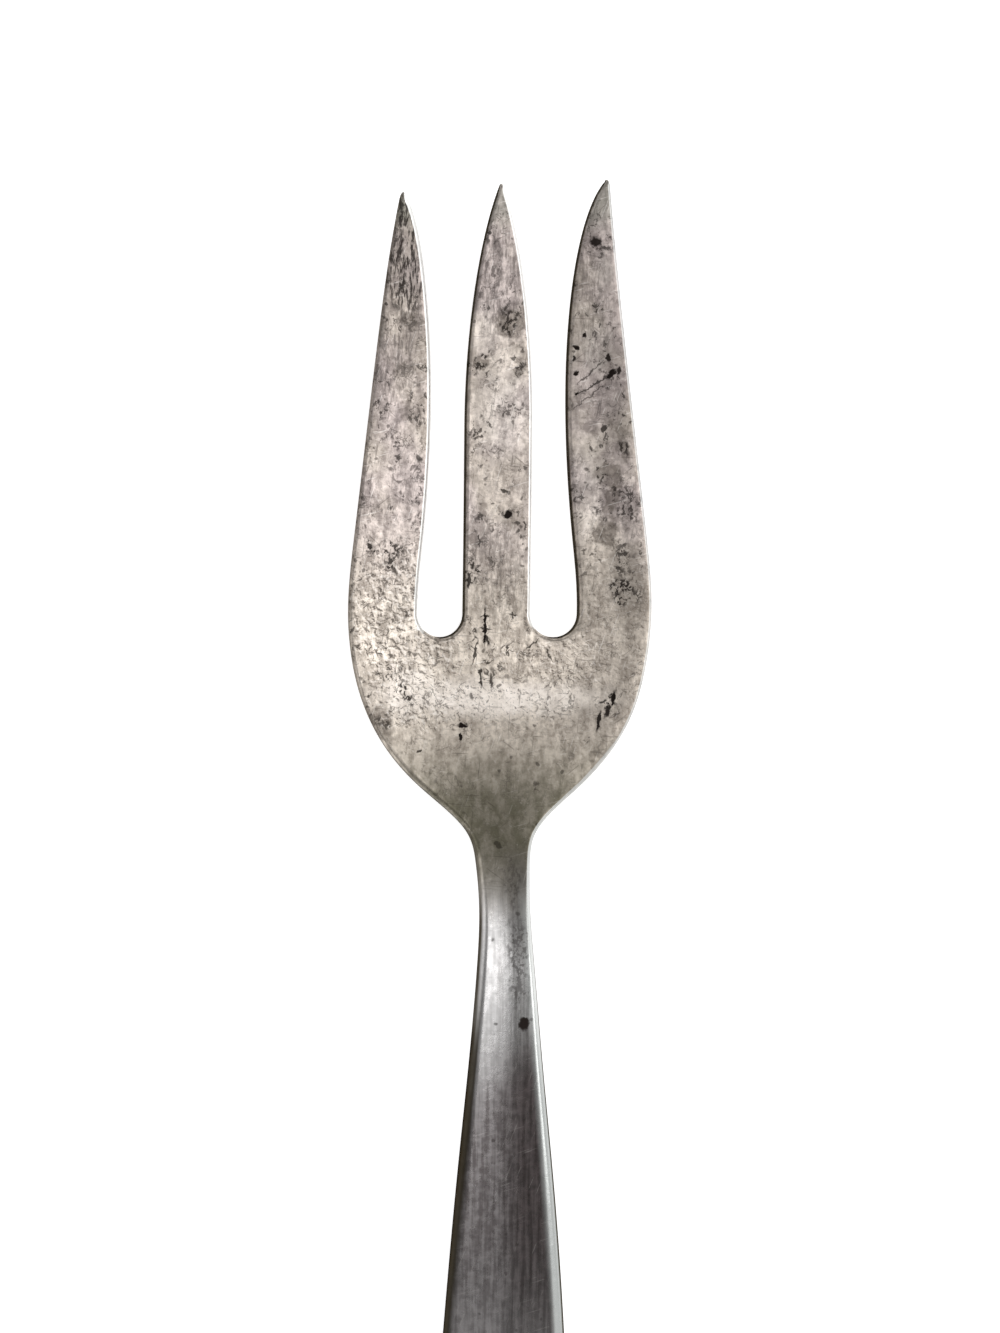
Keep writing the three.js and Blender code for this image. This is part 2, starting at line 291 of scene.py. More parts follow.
def outline_runs():
    parts = []
    for side in (-1, 1):
        y = ROUND_END_Y - HANDLE_END_LENGTH * np.cos(np.linspace(0, math.pi / 2, OUTLINE_ARC_STEPS))
        parts.append(runs(side * half_width(y), y))
        y = np.linspace(ROUND_END_Y, ROOT_Y, OUTLINE_STEPS)
        parts.append(runs(side * half_width(y), y))
    for slot in SLOTS:
        parts.append(runs(*slot_bottom(slot, np.linspace(0, 1, OUTLINE_ARC_STEPS))))
    for tine in range(3):
        y = mix(TINE_POINTS[tine], ROOT_Y, np.linspace(0, 1, OUTLINE_STEPS) ** ROW_CROWDING)
        for edge in tine_edges(tine, y):
            parts.append(runs(edge, y))
    return np.vstack(parts)


OUTLINE = outline_runs()


def edge_distance(x, y):
    """Distance of each place of one row from the outline.

    Runs of the outline that are out of reach of any rolled edge are left out.
    """
    low = np.minimum(OUTLINE[:, 1], OUTLINE[:, 3])
    high = np.maximum(OUTLINE[:, 1], OUTLINE[:, 3])
    near = OUTLINE[(low < y.max() + HANDLE_EDGE_ROLL) & (high > y.min() - HANDLE_EDGE_ROLL)]
    start = near[:, :2]
    run = near[:, 2:] - start
    offset = np.stack([x, y], axis=1)[:, None, :] - start
    foot = np.clip((offset * run).sum(2) / (run**2).sum(1), 0, 1)
    return np.linalg.norm(offset - foot[:, :, None] * run, axis=2).min(1)


def tine_columns(width, roll):
    rolled = ROLL_STEPS * roll / width
    flat = mix(roll / width, 1 - roll / width, np.arange(1, FLAT_COLUMNS + 1) / (FLAT_COLUMNS + 1))
    return np.concatenate([rolled, flat, 1 - rolled[::-1]])


class Patch:
    """Rows of places on the plan, and the front and back heights over them."""

    def __init__(self):
        self.rows = []

    def add_row(self, x, y, roll, point, on_edge):
        edge_line = pressed_height(y) + DISH * head_share(y) * (x / (HEAD_WIDTH / 2)) ** 2
        rolled = np.where(on_edge, 0, quarter_round(edge_distance(x, y) / roll))
        half = thickness(y) / 2 * quarter_round((point - y) / NIB_ROUNDING)
        across = x / np.maximum(half_width(y), SMALLEST_WIDTH)
        crown = HANDLE_CROWN * (1 - head_share(y)) * (1 - across**2)
        front = edge_line + (half + crown) * rolled
        back = np.maximum(edge_line - half * rolled, 0)
        back = np.where(on_edge, edge_line, back)
        self.rows.append(np.stack([x, y, front, back, rolled], axis=1))

    def grid(self):
        return np.stack(self.rows)


def body_patch():
    """From the end of the handle to the roots of the tines and the bottoms of the slots."""
    top_x, top_y, top_edge = [], [], []
    for tine in range(3):
        left, right = (float(edge) for edge in tine_edges(tine, ROOT_Y))
        width = right - left
        shares = tine_columns(width, min(float(edge_roll(ROOT_Y)), ROLL_LIMIT * width))
        top_x += list(mix(left, right, shares))
        top_y += [ROOT_Y] * len(shares)
        top_edge += [True] + [False] * (len(shares) - 2) + [True]
        if tine < 2:
            x, y = slot_bottom(SLOTS[tine], np.arange(1, SLOT_COLUMNS) / SLOT_COLUMNS)
            top_x += list(x)
            top_y += list(y)
            top_edge += [True] * len(x)
    top_x, top_y, top_edge = np.array(top_x), np.array(top_y), np.array(top_edge)
    last = len(top_x) - 1
    in_handle = -np.cos(math.pi * np.arange(last + 1) / last)
    in_palm = top_x / half_width(top_y)
    fan_base = along_palm(FAN_BEGINS)
    levels = np.concatenate([
        ROUND_END_Y - HANDLE_END_LENGTH * np.cos(np.linspace(0, math.pi / 2, END_ROWS + 1)),
        np.linspace(ROUND_END_Y, NECK_Y, HANDLE_ROWS + 1)[1:],
        np.linspace(NECK_Y, fan_base, PALM_ROWS + 1)[1:],
    ])
    roll_shares = 1 - ROLL_STEPS[::-1] * TINE_EDGE_ROLL / (ROOT_Y - fan_base)
    fan_shares = np.concatenate([np.linspace(0, roll_shares[0], FAN_ROWS + 1)[1:-1], roll_shares])
    rows = [np.full(last + 1, level) for level in levels]
    rows += [mix(fan_base, top_y, share) for share in fan_shares]
    patch = Patch()
    for number, y in enumerate(rows):
        x = mix(in_handle, in_palm, head_share(y)) * half_width(y)
        on_edge = np.zeros(last + 1, bool)
        on_edge[[0, last]] = True
        if number == 0:
            on_edge[:] = True
        if number == len(rows) - 1:
            on_edge |= top_edge
        patch.add_row(x, y, edge_roll(y), TIP_Y, on_edge)
    return patch.grid()


def tine_patch(tine):
    """From the root of a tine up the rest of the half circle and on to its point."""
    point = TINE_POINTS[tine]
    slot = SLOTS[0]
    arc = slot[1] - slot[2] * np.sin(root_angle(slot) * (1 - np.arange(ARC_ROWS) / ARC_ROWS))
    rest = mix(point, slot[1], (1 - np.arange(TINE_ROWS + 1) / TINE_ROWS) ** ROW_CROWDING)
    levels = np.concatenate([arc, rest])
    patch = Patch()
    for number, level in enumerate(levels):
        left, right = (float(edge) for edge in tine_edges(tine, level))
        width = max(right - left, SMALLEST_WIDTH)
        roll = min(float(edge_roll(level)), ROLL_LIMIT * width)
        x = mix(left, right, tine_columns(width, roll))
        on_edge = np.zeros(len(x), bool)
        on_edge[[0, -1]] = True
        if number == len(levels) - 1:
            x[:] = left
            on_edge[:] = True
        patch.add_row(x, np.full(len(x), level), roll, point, on_edge)
    return patch.grid()


def fork_mesh():
    """Front and back of every patch, welded along their shared edges."""
    points, facing, flat, faces = [], [], [], []
    for grid in [body_patch()] + [tine_patch(tine) for tine in range(3)]:
        rows, columns = grid.shape[:2]
        for front in (True, False):
            start = len(points)
            height = grid[:, :, 2 if front else 3]
            points += list(np.stack([grid[:, :, 0], grid[:, :, 1], height], axis=2).reshape(-1, 3))
            rolled = grid[:, :, 4].ravel()
            flat += list(rolled)
            facing += list(np.where(rolled == 0, 0.5, 1.0 if front else 0.0))
            for row in range(rows - 1):
                for column in range(columns - 1):
                    a = start + row * columns + column
                    quad = (a, a + 1, a + 1 + columns, a + columns)
                    faces.append(quad if front else quad[::-1])
    points = np.clip(np.array(points) * MM, fork_low, fork_high)
    mesh = bpy.data.meshes.new("silver_fork")
    mesh.from_pydata(points.tolist(), [], faces)
    for name, values in (("front", facing), ("flat", flat)):
        mesh.attributes.new(name, "FLOAT", "POINT").data.foreach_set("value", np.array(values, np.float32))
    work = bmesh.new()
    work.from_mesh(mesh)
    bmesh.ops.remove_doubles(work, verts=work.verts, dist=WELD_DISTANCE)
    bmesh.ops.dissolve_degenerate(work, edges=work.edges, dist=SHORTEST_EDGE)
    for face in work.faces:
        face.smooth = True
    work.to_mesh(mesh)
    work.free()
    return mesh


fork = bpy.data.objects.new("silver_fork", fork_mesh())
bpy.context.scene.collection.objects.link(fork)
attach(fork, "root")
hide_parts("fork_body")


class NodeTree:
    """Short calls for the shader nodes that the materials are made of."""

    def __init__(self, tree):
        self.tree = tree
        tree.nodes.clear()

    def put(self, socket, value):
        if isinstance(value, bpy.types.NodeSocket):
            self.tree.links.new(value, socket)
        else:
            socket.default_value = value

    def node(self, kind, inputs=(), **settings):
        node = self.tree.nodes.new(kind)
        for name, value in settings.items():
            setattr(node, name, value)
        for key, value in dict(inputs).items():
            self.put(node.inputs[key], value)
        return node

    def math(self, operation, a, b=0.0):
        return self.node("ShaderNodeMath", {0: a, 1: b}, operation=operation).outputs[0]

    def add(self, a, b):
        return self.math("ADD", a, b)

    def less(self, a, b):
        return self.math("SUBTRACT", a, b)

    def times(self, a, b):
        return self.math("MULTIPLY", a, b)

    def most(self, a, b):
        return self.math("MAXIMUM", a, b)

    def ramp(self, value, start, stop, low=0.0, high=1.0):
        """Smooth step of value from start to stop, as low to high."""
        inputs = {"Value": value, "From Min": start, "From Max": stop, "To Min": low, "To Max": high}
        return self.node("ShaderNodeMapRange", inputs, interpolation_type="SMOOTHSTEP").outputs[0]

    def shifted(self, vector, shift):
        return self.node("ShaderNodeMapping", {"Vector": vector, "Location": shift}).outputs[0]

    def stretched(self, vector, scale, angle=0.0, shift=0.0):
        """Coordinates turned about z, then scaled, for noise that runs along one way."""
        turned = self.node("ShaderNodeMapping", {"Vector": vector, "Rotation": (0, 0, angle)}).outputs[0]
        inputs = {"Vector": turned, "Scale": scale, "Location": (shift, 2 * shift, 3 * shift)}
        return self.node("ShaderNodeMapping", inputs).outputs[0]

    def noise(self, vector, scale, detail=2.0, rough=0.5, bent=0.0):
        inputs = {"Vector": vector, "Scale": scale, "Detail": detail, "Roughness": rough, "Distortion": bent}
        return self.node("ShaderNodeTexNoise", inputs).outputs["Fac"]

    def blend(self, share, a, b):
        node = self.node("ShaderNodeMix", {0: share, 6: a, 7: b}, data_type="RGBA")
        return node.outputs[2]


def colour(red, green, blue):
    return (red, green, blue, 1.0)


# Marks of use on the front: place x and y, half size across and along (mm), turn (degrees), strength
MARKS = {
    "palm, loop core": (15.4, 42.9, 0.3, 0.9, -10, 1.0),
    "palm, loop tail": (14.5, 41.0, 0.28, 0.9, -25, 0.95),
    "palm, loop arm": (13.9, 42.2, 0.5, 0.2, 30, 0.85),
    "middle point, small stain": (-1.6, 104.6, 0.25, 0.4, 0, 0.8),
    "right tine, blotch": (12.5, 103.5, 0.75, 0.65, 0, 0.95),
    "right tine, pit 1": (11.2, 91.2, 0.28, 0.35, 0, 1.0),
    "right tine, pit 2": (10.1, 89.6, 0.5, 0.25, -20, 1.0),
    "right tine, pit 3": (9.9, 88.1, 0.2, 0.4, 0, 0.9),
    "right tine, pit 4": (10.2, 86.1, 0.25, 0.3, 0, 1.0),
    "right tine, pit 5": (10.2, 83.4, 0.25, 0.25, 0, 1.0),
    "right tine, gouge 1": (14.3, 88.2, 0.3, 0.5, 0, 0.95),
    "right tine, gouge 2": (15.7, 86.4, 0.3, 0.55, 0, 0.95),
    "right tine, gouge 3": (14.7, 86.0, 0.9, 0.38, 45, 1.0),
    "right tine, long scratch": (12.4, 84.5, 2.9, 0.13, 32, 0.75),
    "right tine, second scratch": (12.0, 86.2, 2.4, 0.11, 42, 0.65),
    "right tine, lower scratch": (11.9, 83.0, 2.9, 0.1, 40, 0.6),
    "right tine, small stain": (13.8, 78.7, 0.3, 0.6, 0, 0.8),
    "left tine, inner stain": (-11.0, 74.6, 0.35, 0.55, 20, 0.7),
    "middle tine, chip": (1.2, 67.2, 0.6, 0.48, 15, 1.0),
    "middle tine, dash": (0.7, 70.4, 0.7, 0.2, -15, 0.8),
    "middle tine, faint cross, upright": (-2.5, 63.7, 0.14, 0.9, 5, 0.75),
    "middle tine, faint cross, level": (-2.5, 63.6, 0.5, 0.12, 0, 0.6),
    "middle tine, root dots": (-3.5, 60.4, 0.24, 0.55, -15, 0.9),
    "middle tine, root smear": (-3.9, 58.5, 0.26, 1.0, 0, 0.9),
    "plus, upright": (2.1, 53.8, 0.12, 0.6, 0, 0.8),
    "plus, level": (2.1, 53.8, 0.6, 0.12, 0, 0.8),
    "upright scratch": (-1.7, 52.3, 0.19, 2.6, 0, 1.0),
    "upright scratch, upper bar": (-1.7, 53.6, 0.7, 0.14, 8, 0.8),
    "upright scratch, middle bar": (-1.6, 52.0, 0.9, 0.14, -5, 0.85),
    "upright scratch, foot": (-1.4, 50.6, 0.26, 0.9, 20, 0.9),
    "slanting scratch": (-3.0, 48.8, 0.13, 1.9, -12, 0.85),
    "dash under it": (-2.3, 45.4, 0.2, 1.3, 0, 0.9),
    "second dash": (-0.9, 45.0, 0.2, 1.1, 0, 0.8),
    "arc by the right slot": (4.8, 50.0, 1.1, 0.13, 40, 0.8),
    "arc by the right slot, right": (7.0, 48.4, 0.14, 1.0, 30, 0.7),
    "palm, dots": (-4.9, 39.1, 0.8, 0.28, 0, 1.0),
    "palm, low dot": (-5.2, 37.6, 0.3, 0.45, 0, 1.0),
    "palm, loop foot": (13.3, 39.6, 0.22, 1.4, -12, 0.95),
    "left palm, dash": (-11.0, 35.8, 0.55, 0.18, 25, 0.85),
    "neck, nick": (-0.8, 23.4, 0.65, 0.35, -35, 0.6),
    "handle, black spot": (2.1, 0.0, 0.72, 0.88, 0, 1.0),
}

# Clusters of small stains on the front, in the same way
CLUSTERS = {
    "left point, dark cap": (-13.3, 107.2, 0.75, 0.75, 0, 0.75),
    "middle tine, grey patch": (1.3, 93.2, 1.5, 1.9, -15, 0.8),
    "middle tine, edge knot": (2.8, 94.1, 0.6, 0.55, 20, 0.75),
    "middle tine, left knot": (-2.8, 87.3, 1.1, 1.0, 30, 0.85),
    "middle tine, right knot": (2.7, 86.4, 0.6, 1.0, -20, 0.8),
    "middle tine, smear": (-0.2, 87.3, 1.4, 0.4, 25, 0.5),
    "middle tine, dashes": (1.8, 81.1, 2.2, 0.9, 0, 0.6),
    "middle tine, low knot": (-2.7, 78.0, 0.7, 0.9, 0, 0.75),
    "left tine, upper smudge": (-12.2, 92.7, 1.7, 1.2, 0, 0.55),
    "left tine, middle smudge": (-12.7, 86.2, 1.5, 1.1, 0, 0.5),
    "left tine, low smudge": (-11.6, 79.8, 1.1, 1.6, 20, 0.65),
    "right tine, blotch tail": (13.7, 102.7, 1.2, 0.5, -10, 0.75),
    "right tine, smudge": (13.2, 95.0, 0.9, 0.8, 0, 0.7),
    "right tine, edge stain": (16.4, 76.1, 0.8, 1.1, 20, 0.8),
    "right tine, edge crumbs": (17.0, 68.5, 1.4, 2.8, 8, 0.75),
    "right shoulder, cluster": (16.6, 57.2, 2.1, 1.9, 0, 0.9),
    "right shoulder, upper cluster": (16.4, 61.6, 1.2, 2.3, 0, 0.8),
    "left tine, ring": (-17.6, 62.4, 0.85, 0.85, 0, 0.9),
    "left tine, cluster": (-14.6, 61.6, 1.2, 2.2, 0, 0.85),
    "left tine, low cluster": (-14.6, 59.8, 0.5, 0.7, 0, 0.7),
    "middle tine, root cluster": (-3.4, 59.8, 0.8, 1.8, 0, 0.9),
    "middle tine, low cluster": (-2.2, 58.3, 0.8, 0.8, 0, 0.65),
    "middle tine, faint marks": (-2.2, 63.8, 0.6, 1.1, 0, 0.5),
    "palm, loop": (14.9, 42.0, 0.75, 1.6, -15, 1.0),
    "palm, under the loop": (11.6, 37.3, 0.5, 0.6, 0, 0.8),
    "left palm, dots": (-12.5, 43.4, 0.8, 1.8, 10, 0.9),
    "palm, crumbs under the slots": (0.6, 46.3, 1.3, 0.9, 0, 0.5),
    "palm, crumbs in the band": (-3.6, 43.4, 0.7, 0.6, 0, 0.7),
    "palm, crumbs right of them": (0.4, 44.0, 0.5, 0.5, 0, 0.6),
    "left palm, upper dots": (-13.1, 45.2, 0.3, 0.9, 0, 0.7),
    "left palm, edge stain": (-16.0, 39.8, 1.0, 1.1, 30, 0.65),
    "shoulder, soft spot": (4.9, 31.1, 0.6, 0.6, 0, 0.55),
    "handle, pits": (1.5, 7.5, 1.5, 6.5, 0, 0.58),
    "handle, upper pits": (0.9, 18.5, 0.9, 4.0, 0, 0.4),
}

# Soft stains on both faces, in the same way
STAINS = {
    "left tine, upper": (-13.0, 101.5, 2.4, 7.5, 5, 0.58),
    "left tine, middle": (-13.5, 91.0, 4.0, 6.0, 0, 0.36),
    "left tine, outer side": (-16.5, 80.0, 1.6, 8.0, 6, 0.35),
    "middle tine, upper": (0.0, 99.0, 4.0, 5.0, 0, 0.12),
    "middle tine, lower": (1.5, 61.0, 3.0, 7.0, 0, 0.08),
    "right tine, upper": (11.5, 96.0, 1.6, 4.0, 0, 0.4),
    "right tine, olive patch": (15.0, 88.0, 2.0, 3.2, 0, 0.55),
    "right tine, inner side": (11.5, 81.5, 1.6, 4.0, 0, 0.45),
    "right tine, outer side": (15.8, 79.5, 2.2, 4.5, 8, 0.6),
    "right tine, whole": (14.0, 86.5, 5.0, 15.0, 0, 0.36),
    "right shoulder": (17.0, 58.5, 2.6, 5.0, 0, 0.4),
    "right palm, lower edge": (13.0, 38.0, 4.0, 4.0, 30, 0.3),
    "right palm": (14.0, 49.0, 6.0, 7.0, 0, 0.14),
    "neck, right": (1.8, 21.0, 2.0, 4.0, 0, 0.5),
}

# Parts of the tines with dark lengthwise streaks, in the same way
STREAKED = {
    "left tine, upper": (-13.2, 101.0, 2.8, 8.5, 4, 1.0),
    "left tine, middle": (-14.5, 88.0, 3.0, 6.0, 0, 0.45),
    "middle tine, upper": (0.0, 98.0, 3.5, 8.0, 0, 0.4),
    "middle tine, lower": (0.0, 60.0, 4.5, 7.0, 0, 0.35),
    "right tine, upper": (12.5, 95.0, 2.5, 8.0, 0, 0.3),
}

# Stains with a clearer outline, in the same way
SPOTS = {
    "middle tine, patch": (1.3, 92.8, 2.0, 2.0, 0, 0.75),
    "middle tine, under the patch": (-2.8, 87.2, 1.0, 1.1, 0, 0.7),
    "middle tine, right edge": (2.8, 86.8, 0.8, 1.6, 0, 0.6),
    "right tine, brown cloud": (14.4, 72.6, 1.8, 1.4, 0, 0.72),
    "right tine, neck of the cloud": (14.9, 69.3, 0.9, 2.4, -12, 0.72),
    "right tine, brown spot": (14.2, 65.0, 1.5, 1.9, 0, 0.8),
    "right tine, dark edge": (16.4, 76.6, 0.9, 2.4, 10, 0.6),
    "right tine, grey spot 1": (14.8, 79.3, 0.5, 0.8, 0, 0.5),
    "right tine, grey spot 2": (11.4, 79.0, 0.5, 0.6, 0, 0.45),
    "right tine, grey spot 3": (12.7, 78.2, 0.5, 0.7, 0, 0.4),
    "left palm, edge": (-16.3, 39.5, 2.0, 2.2, 30, 0.6),
    "left tine, grey end": (-12.8, 107.5, 1.4, 2.2, 0, 0.55),
    "left tine, upper smudge": (-12.0, 92.7, 2.0, 1.0, 0, 0.5),
    "left tine, middle smudge": (-12.9, 86.4, 1.6, 1.0, 0, 0.45),
    "left tine, low smudge": (-12.4, 80.6, 1.1, 1.3, 20, 0.5),
}

# Where use has left the metal pale, and across the palm a painted highlight band, in the same way
RUBBED_AND_HIGHLIT = {
    "across the palm": (-1.0, 42.8, 14.0, 2.2, 0, 1.0),
    "across the palm, left": (-12.5, 43.5, 4.0, 3.0, 10, 0.78),
    "left palm": (-13.0, 51.0, 5.0, 7.0, 0, 0.08),
    "middle tine": (0.5, 81.5, 3.6, 6.0, 0, 0.5),
    "middle tine, above its patch": (-1.8, 92.0, 1.8, 3.0, 0, 0.4),
    "right tine, upper": (13.6, 100.0, 1.5, 2.5, 0, 0.35),
    "right tine, middle": (12.5, 89.0, 1.6, 3.5, 0, 0.4),
    "right tine, lower": (12.0, 70.0, 1.8, 6.0, 0, 0.4),
}

# Where the wrinkles of the plate get the most painted highlight and shade, in the same way
WRINKLE_SHADED_ZONES = {
    "left palm": (-12.5, 52.0, 7.0, 11.0, 0, 1.0),
    "left palm, lower": (-12.0, 43.0, 6.0, 5.0, -30, 0.8),
    "left tine": (-14.0, 66.0, 4.5, 7.0, 0, 0.35),
    "under the slots": (1.0, 47.0, 9.0, 3.0, 0, 0.35),
    "right palm": (9.0, 47.5, 6.0, 4.0, 0, 0.45),
    "across the palm": (0.0, 42.3, 13.0, 2.6, 0, 0.5),
}


# Colours of the plate, in linear light
WARM_SHADE = colour(0.35, 0.303, 0.258)
WARM_LIGHT = colour(0.76, 0.68, 0.592)
PINK_SHADE = colour(0.285, 0.243, 0.232)
PINK_LIGHT = colour(0.72, 0.627, 0.592)
# Pale of metal that use has left pale, and of the painted highlight band across the palm
RUBBED_AND_HIGHLIT_PALE = colour(0.93, 0.855, 0.785)
# Grey of the handle: a painted highlight on the left half, painted shade on the right one
LIT_GREY_DARK = colour(0.4, 0.39, 0.386)
LIT_GREY_PALE = colour(0.54, 0.53, 0.528)
SHADED_GREY_DARK = colour(0.14, 0.136, 0.132)
SHADED_GREY_PALE = colour(0.38, 0.373, 0.367)
LOW_LEFT_SHADE = colour(0.1, 0.086, 0.086)
LOW_LEFT_LIGHT = colour(0.24, 0.222, 0.222)
LOW_RIGHT_SHADE = colour(0.04, 0.032, 0.031)
LOW_RIGHT_LIGHT = colour(0.085, 0.068, 0.068)
# Grey of the painted highlight on the rims of the handle
UPPER_RIM_HIGHLIGHT = colour(0.62, 0.635, 0.62)
LOWER_RIM_HIGHLIGHT = colour(0.44, 0.455, 0.445)
STAIN_BROWN = colour(0.15, 0.13, 0.115)
SPOT_BROWN = colour(0.13, 0.108, 0.09)
SMUDGE_PURPLE = colour(0.17, 0.142, 0.134)
POINT_GREEN = colour(0.3, 0.3, 0.255)
# Olive of the shoulder, tarnish and painted shade, and the painted shade of the neck
SHOULDER_OLIVE_AND_SHADE = colour(0.13, 0.121, 0.083)
NECK_PAINTED_SHADE = colour(0.06, 0.057, 0.054)
# Painted highlight of the wrinkles
WRINKLE_HIGHLIGHT = colour(0.96, 0.91, 0.86)
SCRATCH_LIGHT = colour(0.9, 0.86, 0.82)
# Black of tarnish marks and of the painted shade of the wrinkles
TARNISH_AND_SHADE_BLACK = colour(0.022, 0.017, 0.015)
# Painted highlight on the rolled flanks that look right, brightest in the slots
EDGE_HIGHLIGHT = colour(0.62, 0.63, 0.62)
SLOT_EDGE_HIGHLIGHT = colour(0.88, 0.88, 0.86)
# Painted shade on the rolled flanks that look left and along the outline, in colour and in the tint of the
# reflections
EDGE_SHADE = colour(0.04, 0.033, 0.022)
EDGE_SHADE_TINT = colour(0.2, 0.18, 0.15)
WHITE = colour(1, 1, 1)
FLOOR_GREY = colour(0.8, 0.8, 0.8)

# Levels along the fork (mm) between which one look passes into the next
HANDLE_ZONE = (25.0, 12.0)
TINE_ZONE = (52.0, 72.0)
# Where the painted shade and the tarnish of the handle fade out
SHADE_AND_TARNISH_FADE = (-25.0, -60.0)
DARK_HANDLE = (5.0, -7.0)
RIM_DARKENS = (6.0, -12.0)
GREEN_POINTS = (103.5, 108.0)
OLIVE_ABOVE = (41.0, 27.0)
OLIVE_BELOW = (13.0, 24.0)
# Where the painted shade on the neck lies
NECK_SHADE_ABOVE = (25.0, 18.0)
NECK_SHADE_BELOW = (6.0, 13.0)
FLECKS_CROWD = (44.0, 66.0)
FINE_GRAIN_BEGINS = (34.0, 42.0)
FINE_GRAIN_FADES = (56.0, 70.0)
ETCHING_BEGINS = (35.0, 43.0)
ETCHING_FADES = (50.0, 62.0)
BRIGHT_SCRATCHES_BEGIN = (30.0, 42.0)
# Levels for the painted shade and the painted highlight of the rolled edges
HANDLE_RIM_SHADE_GROWS = (11.0, -5.0)
RIM_SHADE_HALVES = (-3.0, 8.0)
RIM_HIGHLIGHT_LESSENS = (12.0, 30.0)
SLOTS_BEGIN = (44.0, 50.0)
SLOT_HIGHLIGHT_BEGINS = (47.0, 52.0)

# Places across the fork (mm), in the same way
RIGHT_OF_LEFT_TINE = (-14.0, -12.5)
LEFT_OF_RIGHT_TINE = (8.0, 6.5)
RIGHT_RIM = (2.5, 3.7)
RIGHT_RIM_SPREAD = 0.0825

# Taller than the fork (mm), so that the marks of a table do not end at some height
MARK_HEIGHT = 1000

# Straight scratches: direction (degrees), and how rare they are
DARK_SCRATCHES = ((8, 0.67), (52, 0.7), (93, 0.68), (128, 0.7))
BRIGHT_SCRATCHES = ((21, 0.68), (74, 0.68))


def ellipses(n, places, table, soft):
    """The strongest of the ellipses of a table. soft is the share of the radius that fades out."""
    reach = 1 + soft / 2
    result = None
    for x, y, half_x, half_y, turn, strength in table.values():
        inputs = {
            "Vector": places,
            "Location": (x, y, 0),
            "Rotation": (0, 0, math.radians(turn)),
            "Scale": (half_x * reach, half_y * reach, MARK_HEIGHT),
        }
        local = n.node("ShaderNodeMapping", inputs, vector_type="TEXTURE").outputs[0]
        inside = n.node("ShaderNodeTexGradient", {"Vector": local}, gradient_type="SPHERICAL").outputs["Fac"]
        shade = n.ramp(inside, 0.0, soft / reach, 0.0, strength)
        result = shade if result is None else n.most(result, shade)
    return result


def wobbled(n, places, scale, reach):
    """Places shifted to and fro by noise, so that outlines drawn with them are uneven."""
    noise = n.node("ShaderNodeTexNoise", {"Vector": places, "Scale": scale, "Detail": 3.0}).outputs["Color"]
    red, green = n.node("ShaderNodeSeparateColor", {0: noise}).outputs[:2]
    sideways = n.times(n.less(red, 0.5), reach)
    lengthwise = n.times(n.less(green, 0.5), reach)
    return n.shifted(places, n.node("ShaderNodeCombineXYZ", {0: sideways, 1: lengthwise}).outputs[0])


def squiggles(n, places, scale, width, share):
    """Thin wandering lines: where a noise crosses its middle, broken up by another noise."""
    field = n.noise(places, scale, detail=2.5, rough=0.6, bent=0.8)
    away = n.math("ABSOLUTE", n.less(field, 0.5))
    line = n.ramp(away, width, width / 4)
    return n.times(line, n.ramp(n.noise(places, scale * 0.7), 1 - share, 1.08 - share))


def scratches(n, places, directions, along, across):
    """Straight fine lines of some directions."""
    result = None
    for angle, rarity in directions:
        drawn = n.stretched(places, (across, along, 0.4), math.radians(angle), angle)
        lines = n.ramp(n.noise(drawn, 1.0, 1.5), rarity, rarity + 0.06)
        result = lines if result is None else n.most(result, lines)
    return result


